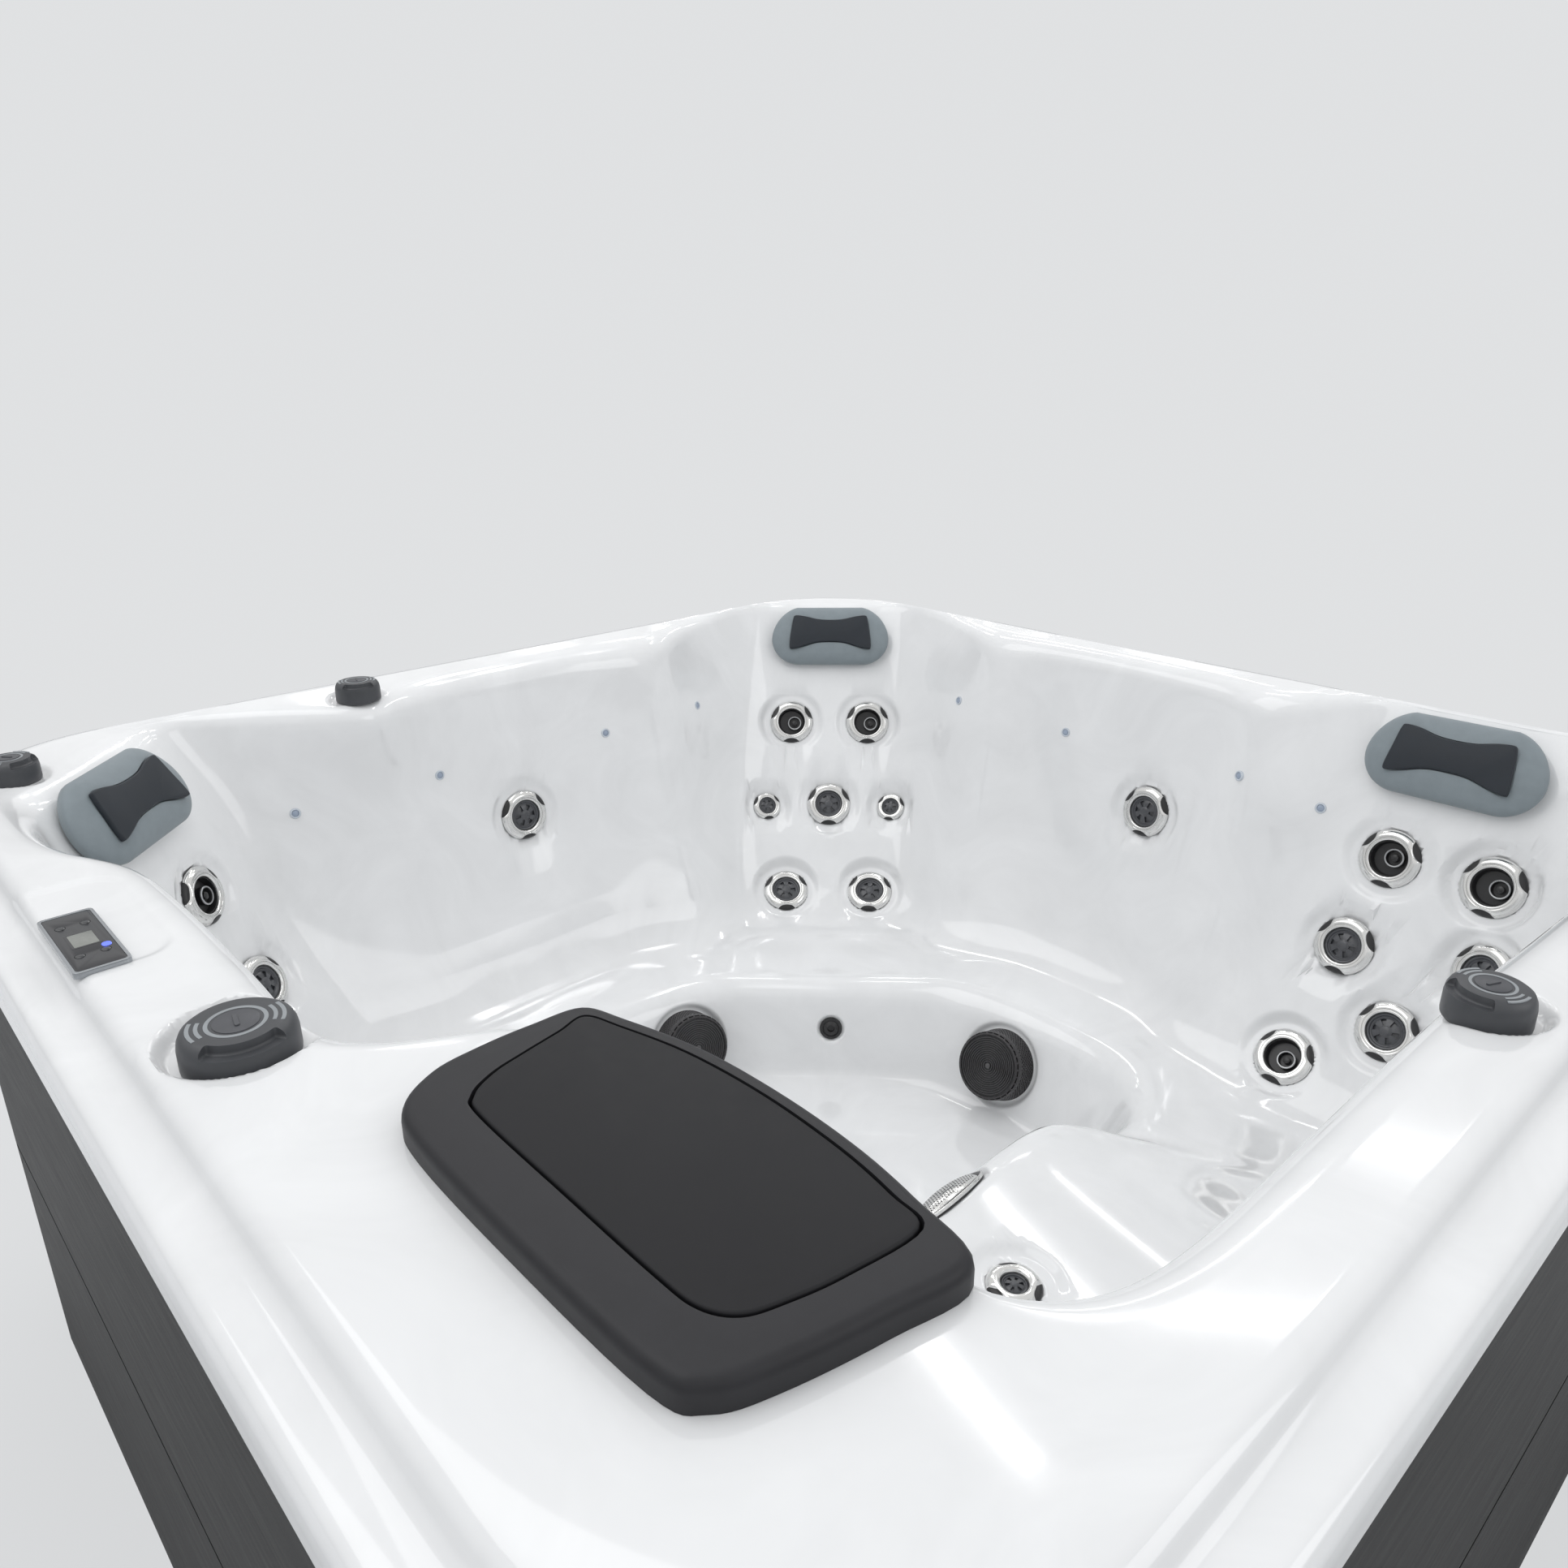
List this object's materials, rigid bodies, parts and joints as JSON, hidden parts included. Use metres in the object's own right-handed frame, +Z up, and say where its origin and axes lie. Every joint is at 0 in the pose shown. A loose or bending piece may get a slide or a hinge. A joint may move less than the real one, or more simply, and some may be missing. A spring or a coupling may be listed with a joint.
{
  "type": "hot tub",
  "caption": "Square free-standing hot tub: a moulded acrylic shell with corner seats, a lounge and a footwell, jets, head pillows, a filter bay and a panelled cabinet.",
  "frame": {"origin": "centre of the base pan's underside on the floor", "axes": "+Z up; the control panel's side faces -Y and the lounge runs along +X"},
  "size_m": [2, 2, 0.9283],
  "materials": {
    "white_acrylic": "glossy white moulded acrylic with a faint grey marbling",
    "bright_metal": "polished stainless steel",
    "black_plastic": "satin black moulded plastic",
    "knob_charcoal": "satin charcoal plastic with light grey rings",
    "panel_gloss": "glossy black with a pale bevelled frame",
    "key_grey": "satin grey",
    "pillow_blue_grey": "matte blue-grey skinned foam",
    "insert_slate": "dark slate skinned foam",
    "lid_charcoal": "satin charcoal plastic",
    "filter_media": "pleated white filter cloth",
    "frame_timber": "planed softwood",
    "cabinet_grey": "fine-grained grey plastic board"
  },
  "bodies": {
    "tub": {"acrylic_shell": "white_acrylic", "suction_cover_left": "black_plastic", "suction_cover_right": "black_plastic", "return_fitting": "black_plastic", "foot_jet": "bright_metal", "control_panel": "panel_gloss", "far_pillow": "pillow_blue_grey", "far_pillow_insert": "insert_slate", "lounge_pillow": "pillow_blue_grey", "lounge_pillow_insert": "insert_slate", "left_pillow": "pillow_blue_grey", "left_pillow_insert": "insert_slate", "skimmer_surround": "lid_charcoal", "filter_bucket": "black_plastic", "filter_cartridge": "filter_media", "base_pan": "black_plastic", "floor_block": "black_plastic", "circulation_pump": "black_plastic", "support_frame": "frame_timber", "heater_pack": "cabinet_grey", "front_panel": "cabinet_grey", "right_panel": "cabinet_grey", "back_panel": "cabinet_grey", "left_panel": "cabinet_grey", "right_corner_panel": "cabinet_grey", "far_corner_panel": "cabinet_grey", "left_corner_panel": "cabinet_grey", "near_corner_panel": "cabinet_grey"},
    "far_jet_top_left_bezel": {"far_jet_top_left": "bright_metal"},
    "far_jet_top_right_bezel": {"far_jet_top_right": "bright_metal"},
    "far_jet_middle_bezel": {"far_jet_middle": "bright_metal"},
    "far_jet_low_left_bezel": {"far_jet_low_left": "bright_metal"},
    "far_jet_low_right_bezel": {"far_jet_low_right": "bright_metal"},
    "back_left_jet_bezel": {"back_left_jet": "bright_metal"},
    "back_right_jet_bezel": {"back_right_jet": "bright_metal"},
    "lounge_jet_top_left_bezel": {"lounge_jet_top_left": "bright_metal"},
    "lounge_jet_top_right_bezel": {"lounge_jet_top_right": "bright_metal"},
    "lounge_jet_middle_left_bezel": {"lounge_jet_middle_left": "bright_metal"},
    "lounge_jet_middle_right_bezel": {"lounge_jet_middle_right": "bright_metal"},
    "lounge_jet_low_left_bezel": {"lounge_jet_low_left": "bright_metal"},
    "lounge_jet_low_right_bezel": {"lounge_jet_low_right": "bright_metal"},
    "left_jet_top_left_bezel": {"left_jet_top_left": "bright_metal"},
    "left_jet_top_right_bezel": {"left_jet_top_right": "bright_metal"},
    "left_jet_low_left_bezel": {"left_jet_low_left": "bright_metal"},
    "left_jet_low_right_bezel": {"left_jet_low_right": "bright_metal"},
    "far_jet_small_left_bezel": {"far_jet_small_left": "bright_metal"},
    "far_jet_small_right_bezel": {"far_jet_small_right": "bright_metal"},
    "calf_jet_bezel": {"calf_jet": "bright_metal"},
    "front_diverter_knob_cap": {"front_diverter_knob": "knob_charcoal"},
    "right_diverter_knob_cap": {"right_diverter_knob": "knob_charcoal"},
    "back_air_knob_cap": {"back_air_knob": "knob_charcoal"},
    "left_air_knob_cap": {"left_air_knob": "knob_charcoal"},
    "key_jets_cap": {"key_jets": "key_grey"},
    "key_light_cap": {"key_light": "key_grey"},
    "key_warmer_cap": {"key_warmer": "key_grey"},
    "key_cooler_cap": {"key_cooler": "key_grey"},
    "filter_lid_panel": {"filter_lid": "lid_charcoal"},
    "weir_flap_door": {"weir_flap": "black_plastic"}
  },
  "joints": [
    {"name": "far_jet_top_left_turn", "type": "hinge", "parent": "tub", "child": "far_jet_top_left_bezel", "pos_m": [-0.79505, 0.67024, 0.64343], "axis": [0.6319, -0.6245, 0.459], "range_deg": [-60, 60]},
    {"name": "far_jet_top_right_turn", "type": "hinge", "parent": "tub", "child": "far_jet_top_right_bezel", "pos_m": [-0.67007, 0.79485, 0.64343], "axis": [0.6248, -0.632, 0.4585], "range_deg": [-60, 60]},
    {"name": "far_jet_middle_turn", "type": "hinge", "parent": "tub", "child": "far_jet_middle_bezel", "pos_m": [-0.66598, 0.66598, 0.47517], "axis": [0.583, -0.583, 0.5658], "range_deg": [-60, 60]},
    {"name": "far_jet_low_left_turn", "type": "hinge", "parent": "tub", "child": "far_jet_low_left_bezel", "pos_m": [-0.64216, 0.50917, 0.31487], "axis": [0.4533, -0.3851, 0.8039], "range_deg": [-60, 60]},
    {"name": "far_jet_low_right_turn", "type": "hinge", "parent": "tub", "child": "far_jet_low_right_bezel", "pos_m": [-0.50914, 0.6421, 0.31487], "axis": [0.3862, -0.4526, 0.8037], "range_deg": [-60, 60]},
    {"name": "back_left_jet_turn", "type": "hinge", "parent": "tub", "child": "back_left_jet_bezel", "pos_m": [-0.82339, -0.03129, 0.59526], "axis": [0.9836, -0.0046, 0.1803], "range_deg": [-60, 60]},
    {"name": "back_right_jet_turn", "type": "hinge", "parent": "tub", "child": "back_right_jet_bezel", "pos_m": [0.03531, 0.84098, 0.61118], "axis": [-0.0486, -0.9754, 0.2151], "range_deg": [-60, 60]},
    {"name": "lounge_jet_top_left_turn", "type": "hinge", "parent": "tub", "child": "lounge_jet_top_left_bezel", "pos_m": [0.49079, 0.83375, 0.65952], "axis": [-0.0227, -0.9329, 0.3595], "range_deg": [-60, 60]},
    {"name": "lounge_jet_top_right_turn", "type": "hinge", "parent": "tub", "child": "lounge_jet_top_right_bezel", "pos_m": [0.64689, 0.83749, 0.65919], "axis": [-0.0759, -0.9128, 0.4012], "range_deg": [-60, 60]},
    {"name": "lounge_jet_middle_left_turn", "type": "hinge", "parent": "tub", "child": "lounge_jet_middle_left_bezel", "pos_m": [0.46395, 0.7757, 0.50773], "axis": [-0.0451, -0.9, 0.4336], "range_deg": [-60, 60]},
    {"name": "lounge_jet_middle_right_turn", "type": "hinge", "parent": "tub", "child": "lounge_jet_middle_right_bezel", "pos_m": [0.67405, 0.77402, 0.53853], "axis": [-0.3069, -0.8592, 0.4094], "range_deg": [-60, 60]},
    {"name": "lounge_jet_low_left_turn", "type": "hinge", "parent": "tub", "child": "lounge_jet_low_left_bezel", "pos_m": [0.43827, 0.66487, 0.32579], "axis": [-0.0548, -0.7346, 0.6763], "range_deg": [-60, 60]},
    {"name": "lounge_jet_low_right_turn", "type": "hinge", "parent": "tub", "child": "lounge_jet_low_right_bezel", "pos_m": [0.57181, 0.72017, 0.41253], "axis": [-0.0387, -0.8528, 0.5209], "range_deg": [-60, 60]},
    {"name": "left_jet_top_left_turn", "type": "hinge", "parent": "tub", "child": "left_jet_top_left_bezel", "pos_m": [-0.62689, -0.7747, 0.64785], "axis": [0.5756, 0.7803, 0.2444], "range_deg": [-60, 60]},
    {"name": "left_jet_top_right_turn", "type": "hinge", "parent": "tub", "child": "left_jet_top_right_bezel", "pos_m": [-0.75313, -0.65513, 0.64777], "axis": [0.7016, 0.6661, 0.2532], "range_deg": [-60, 60]},
    {"name": "left_jet_low_left_turn", "type": "hinge", "parent": "tub", "child": "left_jet_low_left_bezel", "pos_m": [-0.56495, -0.75139, 0.46474], "axis": [0.4436, 0.798, 0.4079], "range_deg": [-60, 60]},
    {"name": "left_jet_low_right_turn", "type": "hinge", "parent": "tub", "child": "left_jet_low_right_bezel", "pos_m": [-0.73396, -0.59381, 0.47184], "axis": [0.7372, 0.529, 0.4203], "range_deg": [-60, 60]},
    {"name": "far_jet_small_left_turn", "type": "hinge", "parent": "tub", "child": "far_jet_small_left_bezel", "pos_m": [-0.76136, 0.56016, 0.47233], "axis": [0.7165, -0.3825, 0.5834], "range_deg": [-60, 60]},
    {"name": "far_jet_small_right_turn", "type": "hinge", "parent": "tub", "child": "far_jet_small_right_bezel", "pos_m": [-0.56042, 0.76159, 0.47232], "axis": [0.3901, -0.7114, 0.5845], "range_deg": [-60, 60]},
    {"name": "calf_jet_turn", "type": "hinge", "parent": "tub", "child": "calf_jet_bezel", "pos_m": [0.49772, -0.17134, 0.4122], "axis": [0.0715, -0.0297, 0.997], "range_deg": [-60, 60]},
    {"name": "front_diverter_knob_turn", "type": "hinge", "parent": "tub", "child": "front_diverter_knob_cap", "pos_m": [0.16, -0.872, 0.884], "axis": [0, 0, 1], "range_deg": [-90, 90]},
    {"name": "right_diverter_knob_turn", "type": "hinge", "parent": "tub", "child": "right_diverter_knob_cap", "pos_m": [0.876, -0.018, 0.884], "axis": [0, 0, 1], "range_deg": [-90, 90]},
    {"name": "back_air_knob_turn", "type": "hinge", "parent": "tub", "child": "back_air_knob_cap", "pos_m": [-0.855, -0.318, 0.884], "axis": [0, 0, 1], "range_deg": [0, 120]},
    {"name": "left_air_knob_turn", "type": "hinge", "parent": "tub", "child": "left_air_knob_cap", "pos_m": [-0.795, -0.862, 0.884], "axis": [0, 0, 1], "range_deg": [0, 120]},
    {"name": "key_jets_press", "type": "slide", "parent": "tub", "child": "key_jets_cap", "axis": [0, 0, -1], "range_m": [0, 0.001], "stiffness_N_per_m": 400, "springref_m": -0.0005},
    {"name": "key_light_press", "type": "slide", "parent": "tub", "child": "key_light_cap", "axis": [0, 0, -1], "range_m": [0, 0.001], "stiffness_N_per_m": 400, "springref_m": -0.0005},
    {"name": "key_warmer_press", "type": "slide", "parent": "tub", "child": "key_warmer_cap", "axis": [0, 0, -1], "range_m": [0, 0.001], "stiffness_N_per_m": 400, "springref_m": -0.0005},
    {"name": "key_cooler_press", "type": "slide", "parent": "tub", "child": "key_cooler_cap", "axis": [0, 0, -1], "range_m": [0, 0.001], "stiffness_N_per_m": 400, "springref_m": -0.0005},
    {"name": "filter_lid_lift", "type": "slide", "parent": "tub", "child": "filter_lid_panel", "axis": [0, 0, 1], "range_m": [0, 0.12]},
    {"name": "weir_flap_swing", "type": "hinge", "parent": "tub", "child": "weir_flap_door", "pos_m": [0.56, -0.61229, 0.6895], "axis": [1, 0, 0], "range_deg": [0, 75]}
  ]
}
